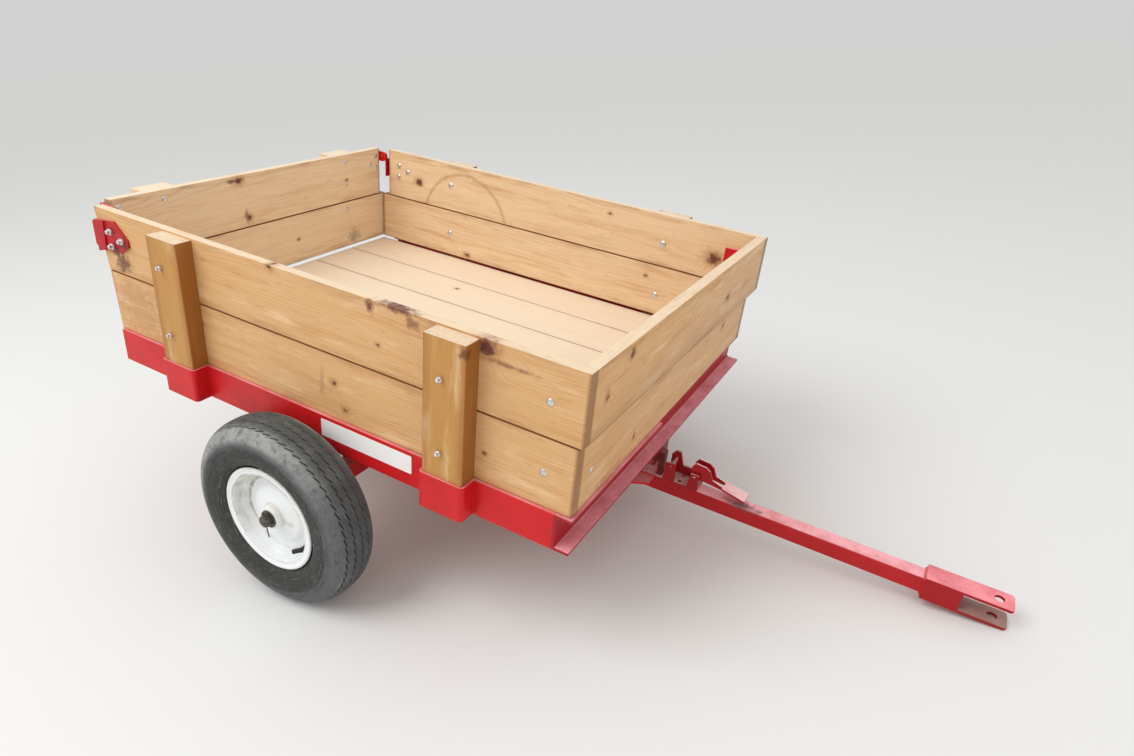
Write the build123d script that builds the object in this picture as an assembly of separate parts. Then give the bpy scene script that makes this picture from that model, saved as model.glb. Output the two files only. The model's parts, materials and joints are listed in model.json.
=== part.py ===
from build123d import *
from math import asin, atan2, cos, degrees, hypot, radians, sin
import os

# Small garden dump trailer: a plank box on a red steel deck frame, two pneumatic wheels on one
# axle, a square tube tongue with a clevis end, a foot latch, and a tailgate hung from its top
# corners. It is drawn level: +X towards the hitch, +Y to the left, Z = 0 at the underside of the
# side planks, X = 0 at the rear of the deck, Y = 0 on the centre line. At the end it is tipped
# nose down about the axle until the clevis lies on the ground, which is how it parks.

# Driving dimensions, millimetres: the plank box
plank_height = 139.7
plank_gap = 1.8
side_plank_thk = 19.0
front_plank_thk = 24.0
gate_plank_thk = 19.0
floor_board_width = 152.4
floor_board_thk = 19.0
floor_board_gap = 0.8
floor_board_count = 6
floor_rear_x = -27.0
stake_width = 89.0
stake_rear_x = 204.0
stake_front_setback = 296.0
stake_depth = 38.0
stake_drop = 4.0
stake_clearance = 0.3
edge_round = 3.0
corner_leg = 50.8
corner_thk = 5.0
corner_foot = 6.0
corner_drop = 45.0

# The deck frame
frame_depth = 76.2
strap_thk = 5.0
strap_gap = 2.0
strap_rear_x = 12.0
pocket_bend = 9.0
ledge_cover = 14.0
ledge_thk = 5.0
member_height = 50.8
member_leg = 38.0
member_thk = 5.0
channel_tip_x = 1198.0
channel_flange = 35.0
channel_web = 5.0
channel_flange_thk = 6.5
channel_root = 5.0
lip_trim = 12.0
lip_trim_start = -80.0
rail_tube = 38.0
rail_wall = 3.0
rail_y = 250.0
rail_rear_x = 60.0

# The tilt pivots, axle and tongue
axle_x = 586.0
pivot_pin_dia = 16.0
pivot_play = 0.1
pivot_pin_head = 4.0
pivot_swing_gap = 5.7
pivot_side_gap = 1.0
ear_thk = 6.0
ear_half_width = 28.0
ear_depth = 22.0
ear_round = 16.0
lug_thk = 12.0
lug_wall = 6.0
lug_height = 52.0
shaft_dia = 25.4
beam_tube = 38.0
beam_wall = 4.0
beam_plug = 60.0
tongue_tube = 38.1
tongue_wall = 3.2
tongue_round = 5.0
tongue_lift = 9.0
brace_width = 38.0
brace_thk = 6.0
brace_spread = 330.0
brace_setback = 20.0
brace_land = 32.0
clevis_tip_x = 1932.0
clevis_outer = 50.8
clevis_length = 160.0
clevis_side_length = 71.0
clevis_corner = 7.0
hitch_hole_dia = 19.5
hitch_hole_setback = 27.0

# The foot latch and its striker
striker_setback = 8.0
striker_thk = 6.0
striker_half = 40.0
striker_lug = 12.0
striker_lug_half = 12.0
striker_lug_top = 59.0
rest_gap = 0.3
latch_gap = 8.0
latch_thk = 5.0
latch_overhang = 4.0
latch_length = 82.0
latch_pin_dia = 10.0
latch_pin_play = 0.1
latch_pin_head = 4.0
latch_rear_pin = (14.0, 33.0)
latch_pedal_pin = (71.0, 27.0)
latch_hole_dia = 8.0
latch_hole_x = 38.0
latch_hole_y = 13.0
pedal_thk = 4.0
pedal_side_gap = 5.0
foot_half = 18.0

# The tailgate and its hinges
gate_clearance = 5.5
gate_plank_gap = 3.2
right_lower_inset = 40.2
left_lower_inset = 7.2
batten_width = 89.0
batten_thk = 38.0
batten_y = 298.0
batten_top_drop = 1.0
batten_foot = 4.0
hinge_thk = 5.0
hinge_x = -24.0
hinge_drop = 24.0
hinge_pin_dia = 9.5
hinge_pin_play = 0.1
hinge_pin_head = 4.0
hinge_knuckle = 11.5
hinge_side_gap = 3.5
right_ear_gap = 19.0
left_ear_gap = 3.0
gate_ear_radius = 15.0
gate_leaf_width = 62.0
gate_leaf_below = 53.0
wrap_x = -13.0
wrap_height = 54.0
wrap_top_drop = 7.0
hinge_strap_thk = 3.5

# The wheels
tyre_radius = 209.0
tyre_width = 114.0
tyre_bulge_radius = 154.0
tyre_roundness = 0.7
tyre_steps = 3
tyre_side_gap = 17.8
bead_radius = 101.6
flange_radius = 117.0
flange_half = 43.0
rim_sheet = 3.0
well_radius = 88.0
well_half = 17.0
well_ramp = 8.0
well_bend = 2.0
disc_sheet = 4.0
disc_weld = 6.0
hub_flare = 6.0
hub_shoulder = 8.0
hub_sleeve = 30.0
hub_radius = 22.0
hub_half = 41.0
hub_play = 0.1
washer_thk = 3.0
washer_radius = 19.0
washer_play = 0.4
shaft_end = 12.0
shaft_chamfer = 1.5

# Places worked out from the driving dimensions
inner_half = floor_board_count * floor_board_width / 2
outer_half = inner_half + side_plank_thk
strap_inner = outer_half + strap_gap
strap_outer = strap_inner + strap_thk
pocket_inner = outer_half + stake_depth + stake_clearance
level_z = [0.0, plank_height + plank_gap]
stake_front_x = channel_tip_x - stake_front_setback
side_top = level_z[1] + plank_height
member_bottom = -frame_depth
member_top = member_bottom + member_height
web_front_x = channel_tip_x - channel_flange + channel_web
web_rear_x = web_front_x - channel_web
rail_bottom = member_bottom - rail_tube
lug_radius = pivot_pin_dia / 2 + pivot_play + lug_wall
pivot_z = rail_bottom - lug_radius - pivot_swing_gap
beam_top = pivot_z - lug_height
axle_z = beam_top - beam_tube / 2
wheel_y = strap_outer + tyre_side_gap + tyre_width / 2
beam_front_x = axle_x + beam_tube / 2
beam_rear_x = axle_x - beam_tube / 2
hub_inner_y = wheel_y - hub_half
hub_outer_y = wheel_y + hub_half
tongue_half = tongue_tube / 2
tongue_z = axle_z + tongue_lift
tongue_top = tongue_z + tongue_half
clevis_half = clevis_outer / 2
clevis_side_x = clevis_tip_x - clevis_length + clevis_side_length
striker_x = web_front_x + striker_setback
latch_rear_x = striker_x + striker_thk + striker_lug + latch_gap
latch_half = tongue_half + latch_overhang
latch_base_z = tongue_top + latch_thk
gate_front_x = floor_rear_x - gate_clearance
gate_rear_x = gate_front_x - gate_plank_thk
batten_rear_x = gate_rear_x - batten_thk
hinge_z = side_top - hinge_drop
gate_ear_y = {-1: inner_half - right_ear_gap, 1: inner_half - left_ear_gap}
upper_gate_end = {side: ear_y - hinge_thk - gate_plank_gap for side, ear_y in gate_ear_y.items()}
lower_gate_end = {-1: outer_half - right_lower_inset, 1: outer_half - left_lower_inset}
shaft_y = hub_outer_y + washer_play + washer_thk + shaft_end
cut_margin = 1.0

sides = [("right", -1), ("left", 1)]
made = {}


def block(x0, x1, y0, y1, z0, z1):
    """A box between two corners, given in any order."""
    size = (abs(x1 - x0), abs(y1 - y0), abs(z1 - z0))
    return Pos((x0 + x1) / 2, (y0 + y1) / 2, (z0 + z1) / 2) * Box(*size)


def rod(x, y0, y1, z, radius):
    """A round bar along Y."""
    return Pos(x, (y0 + y1) / 2, z) * Rot(90, 0, 0) * Cylinder(radius, abs(y1 - y0))


def prism_y(points, y0, y1):
    """A closed outline of (x, z) points carried along Y."""
    face = make_face(Polyline(*[(x, min(y0, y1), z) for x, z in points], close=True))
    return extrude(face, abs(y1 - y0), dir=(0, 1, 0))


def prism_z(points, z0, z1):
    """A closed outline of (x, y) points carried up."""
    face = make_face(Polyline(*[(x, y, z0) for x, y in points], close=True))
    return extrude(face, z1 - z0, dir=(0, 0, 1))


def rounded(solid, axis, radius, wanted):
    """Round the edges along one axis whose middle passes the test."""
    edges = [e for e in solid.edges().filter_by(axis) if wanted(e.center())]
    return fillet(edges, radius)


# Front planks, between the side planks: name, level, then how far each end's front face lies
# behind the tip of the front channel, at the right and at the left
front_planks = [("lower", 0, 6.0, 11.0), ("upper", 1, -1.0, -10.0)]
front_x = {}
for name, level, right_set, left_set in front_planks:
    right_x = channel_tip_x - right_set
    left_x = channel_tip_x - left_set
    front_x[level] = {-1: right_x, 1: left_x}
    outline = [(right_x, -inner_half), (left_x, inner_half),
               (left_x - front_plank_thk, inner_half), (right_x - front_plank_thk, -inner_half)]
    z0 = level_z[level]
    made[f"front_plank_{name}"] = prism_z(outline, z0, z0 + plank_height)

# Side planks: name, side, level, rear end at the foot, rear end at the top
side_planks = [
    ("right_lower", -1, 0, 6.0, 1.0),
    ("right_upper", -1, 1, 0.0, -16.0),
    ("left_lower", 1, 0, floor_rear_x, floor_rear_x),
    ("left_upper", 1, 1, -2.0, -1.0),
]
for name, side, level, rear_foot, rear_top in side_planks:
    z0 = level_z[level]
    z1 = z0 + plank_height
    plank_x = front_x[level][side]
    outline = [(rear_foot, z0), (plank_x, z0), (plank_x, z1), (rear_top, z1)]
    made[f"side_plank_{name}"] = prism_y(outline, side * inner_half, side * outer_half)

# Floor boards run the length of the deck
for i in range(floor_board_count):
    y0 = -inner_half + i * floor_board_width + floor_board_gap / 2
    y1 = y0 + floor_board_width - floor_board_gap
    board = block(floor_rear_x, web_rear_x, y0, y1, member_top, member_top + floor_board_thk)
    made[f"floor_board_{i + 1}"] = board

# Stakes stand in the pockets of the side straps: name, side, rear edge
stakes = [
    ("right_rear", -1, stake_rear_x),
    ("right_front", -1, stake_front_x),
    ("left_rear", 1, stake_rear_x),
    ("left_front", 1, stake_front_x),
]
for name, side, x0 in stakes:
    stake = block(x0, x0 + stake_width, side * outer_half, side * (outer_half + stake_depth),
                  -frame_depth, side_top - stake_drop)
    stake = rounded(stake, Axis.Z, edge_round, lambda c: abs(c.Y) > outer_half + cut_margin)
    made[f"stake_{name}"] = stake


def side_strap(side):
    """A flat bar on edge, bent out round each stake, with the ledge that the planks stand on."""
    outer = [(strap_rear_x, strap_outer)]
    inner = [(strap_rear_x, strap_inner)]
    slots = [(x0 - stake_clearance, x0 + stake_width + stake_clearance)
             for name, stake_side, x0 in stakes if stake_side == side]
    for a, b in slots:
        pocket_outer = pocket_inner + strap_thk
        outer += [(a - strap_thk, strap_outer), (a - strap_thk, pocket_outer),
                  (b + strap_thk, pocket_outer), (b + strap_thk, strap_outer)]
        inner += [(a, strap_inner), (a, pocket_inner), (b, pocket_inner), (b, strap_inner)]
    outer.append((web_rear_x, strap_outer))
    inner.append((web_rear_x, strap_inner))
    outline = [(x, side * y) for x, y in outer + inner[::-1]]
    strap = prism_z(outline, -frame_depth, 0)
    strap = rounded(strap, Axis.Z, pocket_bend, lambda c: abs(c.Y) > pocket_inner + cut_margin)
    ledge = block(strap_rear_x, web_rear_x, side * (outer_half - ledge_cover),
                  side * strap_inner, -ledge_thk, 0)
    for a, b in slots:
        ledge -= block(a, b, side * outer_half, side * strap_outer, -ledge_thk, 0)
    return strap + ledge


for name, side in sides:
    made[f"side_strap_{name}"] = side_strap(side)

# Front channel, flanges forward, its top lip trimmed back from the latch to the left end
lower_lip_z = -frame_depth + channel_flange_thk
channel_outline = [
    (web_rear_x, -frame_depth), (channel_tip_x, -frame_depth), (channel_tip_x, lower_lip_z),
    (web_front_x, lower_lip_z), (web_front_x, -channel_flange_thk),
    (channel_tip_x, -channel_flange_thk), (channel_tip_x, 0), (web_rear_x, 0),
]
channel = prism_y(channel_outline, -strap_outer, strap_outer)
channel = rounded(channel, Axis.Y, channel_root, lambda c: abs(c.X - web_front_x) < cut_margin)
channel -= block(channel_tip_x - lip_trim, channel_tip_x + cut_margin, lip_trim_start,
                 strap_outer + cut_margin, -channel_flange_thk, cut_margin)
made["front_channel"] = channel

# Deck cross members, angles with a level leg on top: name, edge, way the leg points
cross_members = [
    ("rear", strap_rear_x, 1),
    ("mid_rear", 400.0, 1),
    ("mid_front", 780.0, 1),
    ("front", web_rear_x, -1),
]
for name, x0, way in cross_members:
    thin = x0 + way * member_thk
    wide = x0 + way * member_leg
    under = member_top - member_thk
    outline = [(x0, member_bottom), (thin, member_bottom), (thin, under), (wide, under),
               (wide, member_top), (x0, member_top)]
    made[f"cross_member_{name}"] = prism_y(outline, -strap_inner, strap_inner)

# Two square tubes under the deck, each with a pair of ears and the pin that it tilts on
ear_y = lug_thk / 2 + pivot_side_gap
for name, side in sides:
    y = side * rail_y
    half = rail_tube / 2
    bore = half - rail_wall
    front = web_rear_x - member_leg
    rail = block(rail_rear_x, front, y - half, y + half, rail_bottom, member_bottom)
    rail -= block(rail_rear_x - cut_margin, front + cut_margin, y - bore, y + bore,
                  rail_bottom + rail_wall, member_bottom - rail_wall)
    for way in (-1, 1):
        ear = block(axle_x - ear_half_width, axle_x + ear_half_width, y + way * ear_y,
                    y + way * (ear_y + ear_thk), pivot_z - ear_depth, rail_bottom)
        rail += rounded(ear, Axis.Y, ear_round, lambda c: c.Z < pivot_z)
    reach = ear_y + ear_thk + pivot_pin_head
    rail += rod(axle_x, y - reach, y + reach, pivot_z, pivot_pin_dia / 2)
    made[f"bed_rail_{name}"] = rail

# Axle: a square tube with a plug in each end, a round shaft through the plugs, end washers
beam_y = hub_inner_y - washer_play
half = beam_tube / 2
bore = half - beam_wall
beam = block(beam_rear_x, beam_front_x, -beam_y, beam_y, axle_z - half, beam_top)
beam -= block(axle_x - bore, axle_x + bore, beam_plug - beam_y, beam_y - beam_plug,
              axle_z - bore, axle_z + bore)
beam -= rod(axle_x, -beam_y - cut_margin, beam_y + cut_margin, axle_z, shaft_dia / 2)
made["axle_beam"] = beam

shaft = rod(axle_x, -shaft_y, shaft_y, axle_z, shaft_dia / 2)
made["axle_shaft"] = chamfer(shaft.edges().filter_by(GeomType.CIRCLE), shaft_chamfer)

for name, side in sides:
    y0 = side * (hub_outer_y + washer_play)
    y1 = y0 + side * washer_thk
    washer = rod(axle_x, y0, y1, axle_z, washer_radius)
    made[f"axle_washer_{name}"] = washer - rod(axle_x, y0, y1, axle_z, shaft_dia / 2)

for name, side in sides:
    y0 = side * rail_y - lug_thk / 2
    y1 = y0 + lug_thk
    lug = prism_y([(beam_rear_x, beam_top), (beam_front_x, beam_top),
                   (axle_x + lug_radius, pivot_z), (axle_x - lug_radius, pivot_z)], y0, y1)
    lug += rod(axle_x, y0, y1, pivot_z, lug_radius)
    lug -= rod(axle_x, y0, y1, pivot_z, pivot_pin_dia / 2 + pivot_play)
    made[f"pivot_lug_{name}"] = lug

# Tongue tube, and the two flat braces from its side back to the top of the axle
tongue = block(beam_front_x, clevis_side_x - latch_thk, -tongue_half, tongue_half,
               tongue_z - tongue_half, tongue_top)
tongue = rounded(tongue, Axis.X, tongue_round, lambda c: True)
bore = tongue_half - tongue_wall
tongue -= block(beam_front_x - cut_margin, clevis_side_x, -bore, bore,
                tongue_z - bore, tongue_z + bore)
made["tongue_tube"] = tongue

brace_front_x = latch_rear_x - brace_setback
brace_run = brace_front_x - beam_rear_x
brace_rise = brace_spread - tongue_half
brace_slant = hypot(brace_run, brace_rise)
brace_outline = [
    (brace_front_x, tongue_half), (brace_front_x, tongue_half + brace_land),
    (beam_rear_x, brace_spread + brace_width * brace_slant / brace_run),
    (beam_rear_x, brace_spread),
    (brace_front_x - brace_land * brace_run / brace_rise, tongue_half),
]
for name, side in sides:
    outline = [(x, side * y) for x, y in brace_outline]
    made[f"tongue_brace_{name}"] = prism_z(outline, beam_top, beam_top + brace_thk)

# Clevis: a square sleeve over the tongue, and the two ears that carry on its top and bottom
rear = clevis_tip_x - clevis_length
sleeve = block(rear, clevis_side_x, -clevis_half, clevis_half,
               tongue_z - clevis_half, tongue_z + clevis_half)
sleeve -= block(rear - cut_margin, clevis_side_x + cut_margin, -tongue_half, tongue_half,
                tongue_z - tongue_half, tongue_z + tongue_half)
made["hitch_sleeve"] = sleeve
hitch_hole = Pos(clevis_tip_x - hitch_hole_setback, 0, tongue_z)
hitch_hole *= Cylinder(hitch_hole_dia / 2, 2 * clevis_outer)
for name, way in (("lower", -1), ("upper", 1)):
    ear = block(clevis_side_x, clevis_tip_x, -clevis_half, clevis_half,
                tongue_z + way * tongue_half, tongue_z + way * clevis_half)
    ear = rounded(ear, Axis.Z, clevis_corner, lambda c: c.X > clevis_tip_x - cut_margin)
    made[f"clevis_ear_{name}"] = ear - hitch_hole


def latch_place(points):
    """Outline points given forward of the latch's rear edge and above its base plate."""
    return [(latch_rear_x + x, latch_base_z + z) for x, z in points]


# Latch bracket: base plate with two holes, one long wall on the left, two short on the right
long_wall = latch_place([(0, 0), (latch_length, 0), (latch_length, 36), (62, 36), (54, 22),
                         (30, 22), (20, 54), (8, 54), (0, 42)])
rear_wall = latch_place([(0, 0), (27, 0), (25, 46), (0, 42)])
front_wall = latch_place([(58, 0), (latch_length, 0), (latch_length, 36), (62, 36)])
bracket = block(latch_rear_x, latch_rear_x + latch_length, -latch_half, latch_half,
                tongue_top, latch_base_z)
bracket += prism_y(long_wall, latch_half - latch_thk, latch_half)
bracket += prism_y(rear_wall, -latch_half, latch_thk - latch_half)
bracket += prism_y(front_wall, -latch_half, latch_thk - latch_half)
rear_pin_x, rear_pin_z = latch_place([latch_rear_pin])[0]
pedal_pin_x, pedal_pin_z = latch_place([latch_pedal_pin])[0]
latch_reach = latch_half + latch_pin_head
bracket += rod(rear_pin_x, -latch_reach, latch_reach, rear_pin_z, latch_pin_dia / 2)
bracket -= rod(pedal_pin_x, -latch_reach, latch_reach, pedal_pin_z,
               latch_pin_dia / 2 + latch_pin_play)
for y in (-latch_hole_y, latch_hole_y):
    bracket -= Pos(latch_rear_x + latch_hole_x, y, tongue_top) * Cylinder(latch_hole_dia / 2,
                                                                          4 * latch_thk)
made["latch_bracket"] = bracket

# Pedal: two ogee cheeks and a sloping foot plate, on the front pin
cheek = latch_place([(60, 20), (60, 50), (68, 60), (92, 58), (102, 51), (111, 32), (136, 24),
                     (148, 15), (84, 22), (74, 15)])
foot = latch_place([(136, 19), (136, 24), (190, 12), (190, 7)])
cheek_outer = latch_half - latch_thk - pedal_side_gap
pedal = prism_y(foot, -foot_half, foot_half)
for name, side in sides:
    pedal += prism_y(cheek, side * (cheek_outer - pedal_thk), side * cheek_outer)
pedal += rod(pedal_pin_x, -latch_reach, latch_reach, pedal_pin_z, latch_pin_dia / 2)
made["latch_pedal"] = pedal

# Striker under the front channel: a hanging plate and a lug that rests on the tongue
striker_foot_z = latch_base_z + latch_rear_pin[1]
striker = block(striker_x, striker_x + striker_thk, -striker_half, striker_half,
                striker_foot_z, -frame_depth)
striker += block(striker_x + striker_thk, striker_x + striker_thk + striker_lug,
                 -striker_lug_half, striker_lug_half, tongue_top + rest_gap,
                 tongue_top + striker_lug_top)
made["bed_striker"] = striker

# Corner angles that join the side planks to the front planks
for name, side in sides:
    x0 = min(front_x[0].values()) - front_plank_thk
    y0 = inner_half
    outline = [(x0, y0), (x0 - corner_leg, y0), (x0 - corner_leg, y0 - corner_thk),
               (x0 - corner_thk, y0 - corner_thk), (x0 - corner_thk, y0 - corner_leg),
               (x0, y0 - corner_leg)]
    outline = [(x, side * y) for x, y in outline]
    made[f"corner_angle_{name}"] = prism_z(outline, corner_foot, side_top - corner_drop)

# Tailgate: two planks, cut a little shorter on the right, and two battens
for name, level, end in (("lower", 0, lower_gate_end), ("upper", 1, upper_gate_end)):
    z0 = level_z[level]
    plank = block(gate_rear_x, gate_front_x, -end[-1], end[1], z0, z0 + plank_height)
    made[f"tailgate_plank_{name}"] = plank
for name, side in sides:
    y = side * batten_y
    batten = block(batten_rear_x, gate_rear_x, y - batten_width / 2, y + batten_width / 2,
                   batten_foot, side_top - batten_top_drop)
    batten = rounded(batten, Axis.Z, edge_round, lambda c: c.X < gate_rear_x - cut_margin)
    made[f"tailgate_batten_{name}"] = batten

# Tailgate hinges. The side bracket is bolted outside the upper plank, turns in behind the
# plank's end and carries the pin. The gate bracket is bolted outside the gate, and its ear
# comes forward through the gap beside the upper gate plank.
plate_outline = [(wrap_x, -74.0), (17.0, -66.0), (60.0, -64.0), (88.0, -46.0), (88.0, -30.0),
                 (50.0, 4.0), (wrap_x, -3.0)]
strap_outline = [(wrap_x, -74.0), (14.0, -66.0), (19.0, 0.0), (wrap_x, -3.0)]
for name, side in sides:
    ear_y = gate_ear_y[side]
    hinge_lug_y = ear_y + hinge_side_gap
    plate_y = side * (outer_half + hinge_thk)
    placed = [(x, hinge_z + z) for x, z in plate_outline]
    plate = prism_y(placed, side * outer_half, plate_y)
    placed = [(x, hinge_z + z) for x, z in strap_outline]
    plate += prism_y(placed, plate_y, plate_y + side * hinge_strap_thk)
    wrap_top = hinge_z - wrap_top_drop
    plate += block(wrap_x - hinge_thk, wrap_x, side * hinge_lug_y,
                   plate_y + side * hinge_strap_thk, wrap_top - wrap_height, wrap_top)
    lug_y = side * (hinge_lug_y + hinge_thk)
    plate += block(hinge_x, wrap_x, side * hinge_lug_y, lug_y,
                   hinge_z - hinge_knuckle, hinge_z)
    plate += rod(hinge_x, side * hinge_lug_y, lug_y, hinge_z, hinge_knuckle)
    plate += rod(hinge_x, side * (ear_y - hinge_thk - hinge_pin_head), lug_y, hinge_z,
                 hinge_pin_dia / 2)
    made[f"hinge_plate_{name}"] = plate

for name, side in sides:
    ear_outer = side * gate_ear_y[side]
    ear_inner = side * (gate_ear_y[side] - hinge_thk)
    leaf = block(gate_rear_x - hinge_thk, gate_rear_x, ear_outer,
                 side * (gate_ear_y[side] - gate_leaf_width),
                 hinge_z - gate_leaf_below, hinge_z + gate_ear_radius)
    leaf += block(gate_rear_x - hinge_thk, hinge_x, ear_inner, ear_outer,
                  hinge_z - gate_ear_radius, hinge_z + gate_ear_radius)
    leaf += rod(hinge_x, ear_inner, ear_outer, hinge_z, gate_ear_radius)
    leaf -= rod(hinge_x, ear_inner, ear_outer, hinge_z, hinge_pin_dia / 2 + hinge_pin_play)
    made[f"gate_bracket_{name}"] = leaf


def turned(outline, y):
    """Turn a closed outline of (outboard distance, radius) about the axle."""
    solid = revolve(make_face(outline), Axis.X, 360)
    return Pos(axle_x, y, axle_z) * Rot(0, 0, 90) * solid


def tyre_half():
    """Half a tyre's outline of (distance, radius): bead, bead wall, then a superellipse that runs
    from the widest point of the side up to the middle of the tread."""
    points = [(flange_half, bead_radius), (flange_half, flange_radius)]
    for i in range(tyre_steps + 1):
        angle = radians(90 * i / tyre_steps)
        across = tyre_width / 2 * max(cos(angle), 0) ** tyre_roundness
        above = (tyre_radius - tyre_bulge_radius) * sin(angle) ** tyre_roundness
        points.append((across, tyre_bulge_radius + above))
    return points


# Wheels: outlines are drawn from the wheel's middle plane, outboard distances negative
side_points = tyre_half()
mirrored = [(-a, r) for a, r in side_points[-2::-1]]
tyre_outline = Polyline(*side_points, *mirrored, close=True)
seat = bead_radius - rim_sheet
lip = flange_half + rim_sheet
well = well_radius - rim_sheet
bore = shaft_dia / 2 + hub_play
ramp_foot = well_half - well_bend
ramp_head = ramp_foot + well_ramp
hub_flare_radius = hub_radius + hub_flare

# The pressed disc between rim and hub: radius, outboard distance of its outer face
dish = [(well, 16.0), (62.0, 22.0), (40.0, 26.0)]
disc_outer = [(-a, r) for r, a in dish]
disc_inner = [(disc_sheet - a, r) for r, a in dish[1:]]
rim_points = [
    (-lip, flange_radius), (-flange_half, flange_radius), (-flange_half, bead_radius),
    (-well_half - well_ramp, bead_radius), (-well_half, well_radius), (well_half, well_radius),
    (well_half + well_ramp, bead_radius), (flange_half, bead_radius),
    (flange_half, flange_radius), (lip, flange_radius), (lip, seat), (ramp_head, seat),
    (ramp_foot, well), (disc_weld - dish[0][1], well), *disc_inner,
    (hub_half - hub_sleeve, hub_flare_radius), (hub_half, hub_radius), (hub_half, bore),
    (-hub_half, bore), (-hub_half, hub_radius), (hub_shoulder - hub_half, hub_radius),
    *disc_outer[::-1], (-ramp_foot, well), (-ramp_head, seat), (-lip, seat),
]
for name, side in sides:
    made[f"tyre_{name}"] = turned(tyre_outline, side * wheel_y)
    outline = Polyline(*[(-side * a, r) for a, r in rim_points], close=True)
    made[f"wheel_disc_{name}"] = turned(outline, side * wheel_y)

# Parked: nose down about the axle until the tyres and the clevis touch the ground together
tip_run = clevis_tip_x - axle_x
tip_rise = tongue_z - clevis_half - axle_z
pitch = degrees(asin(tyre_radius / hypot(tip_run, tip_rise)) + atan2(tip_rise, tip_run))
lift = Pos(0, 0, tyre_radius) * Rot(0, pitch, 0) * Pos(-axle_x, 0, -axle_z)
parked = {name: lift * shape for name, shape in made.items()}
boxes = [shape.bounding_box() for shape in parked.values()]
middle_x = (min(b.min.X for b in boxes) + max(b.max.X for b in boxes)) / 2
os.makedirs("parts", exist_ok=True)
for name, shape in parked.items():
    export_step(Pos(-middle_x, 0, 0) * shape, f"parts/{name}.step")
print("pitch", round(pitch, 4), "middle_x", round(middle_x, 4), "axle_z", round(axle_z, 3))
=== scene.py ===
import bmesh
import bpy
import json
import numpy as np
from math import atan2, cos, pi, radians, sin
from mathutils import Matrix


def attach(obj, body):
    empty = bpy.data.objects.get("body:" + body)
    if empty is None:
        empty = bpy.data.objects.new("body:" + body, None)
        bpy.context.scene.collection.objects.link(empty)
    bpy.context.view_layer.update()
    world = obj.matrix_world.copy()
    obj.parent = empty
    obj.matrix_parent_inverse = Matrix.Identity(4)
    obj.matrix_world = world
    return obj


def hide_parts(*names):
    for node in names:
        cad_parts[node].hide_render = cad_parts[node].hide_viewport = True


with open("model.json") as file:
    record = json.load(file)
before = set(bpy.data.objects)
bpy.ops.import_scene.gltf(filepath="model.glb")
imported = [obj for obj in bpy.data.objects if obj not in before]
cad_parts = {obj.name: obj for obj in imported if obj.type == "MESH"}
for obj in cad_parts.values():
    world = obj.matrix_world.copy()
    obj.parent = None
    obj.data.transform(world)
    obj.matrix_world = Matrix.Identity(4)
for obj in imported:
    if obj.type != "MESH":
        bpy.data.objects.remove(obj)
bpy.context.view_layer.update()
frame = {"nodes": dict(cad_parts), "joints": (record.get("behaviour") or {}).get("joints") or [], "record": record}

# A small garden dump trailer: the finish of its solids, and the pieces that they leave out.
# It is drawn level in millimetres, +X to the hitch, +Y to the left, Z = 0 under the side planks,
# and then tipped nose down about the axle. These two sizes give the axle in that drawing; the
# pitch, the axle's place on the ground and the wheels' distance come from the frame.
AXLE_X = 586.0
AXLE_Z = -205.0
joint_place = {j["name"]: np.array(j["pos_m"]) for j in frame["joints"]}
axle = joint_place["wheel_left_spin"] * (1, 0, 1)
wheel_y = float(joint_place["wheel_left_spin"][1]) * 1000
above_axle = joint_place["bed_tilt"] - axle
pitch = atan2(above_axle[0], above_axle[2])
SIDES = (("right", -1), ("left", 1))


def parked(points):
    """Level millimetres to the frame's metres: turned nose down about the axle by the pitch."""
    points = np.asarray(points, float)
    dx = points[..., 0] - AXLE_X
    dz = points[..., 2] - AXLE_Z
    x = dx * cos(pitch) + dz * sin(pitch)
    z = dz * cos(pitch) - dx * sin(pitch)
    return np.stack((x, points[..., 1], z), -1) / 1000 + axle


def reach(node):
    """Lowest and highest corner of a CAD node, turned back to the level drawing in millimetres."""
    mesh = frame["nodes"][node].data
    flat = np.empty(len(mesh.vertices) * 3, np.float32)
    mesh.vertices.foreach_get("co", flat)
    away = (flat.reshape(-1, 3) - axle) * 1000
    x = away[:, 0] * cos(pitch) - away[:, 2] * sin(pitch) + AXLE_X
    z = away[:, 0] * sin(pitch) + away[:, 2] * cos(pitch) + AXLE_Z
    level = np.stack((x, away[:, 1], z), -1)
    return level.min(0), level.max(0)


def end_of(node, axis, way):
    """Where a CAD node ends along x, y or z, on the side that the sign of way names."""
    low, high = reach(node)
    return (high if way > 0 else low)["xyz".index(axis)]


# Shapes: arrays of level points with the faces that join them. A bar's sides start from a
# direction that no bar here follows.
SKEW = (0.31, 0.52, 0.8)
BAR_SIDES = 8
WELD_RIPPLE = 0.35
RIPPLE_APART = 4.0


def grid(points, close_rows=False):
    """Points on a rows by columns grid, and the quads between neighbours. The last column joins
    the first, and with close_rows the last row does too."""
    rows, cols = points.shape[:2]
    i = np.arange(rows if close_rows else rows - 1)
    i, j = np.meshgrid(i, np.arange(cols), indexing="ij")
    below = (i + 1) % rows
    beside = (j + 1) % cols
    quads = np.stack((i * cols + j, i * cols + beside, below * cols + beside, below * cols + j), -1)
    return points.reshape(-1, 3), quads.reshape(-1, 4)


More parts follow.
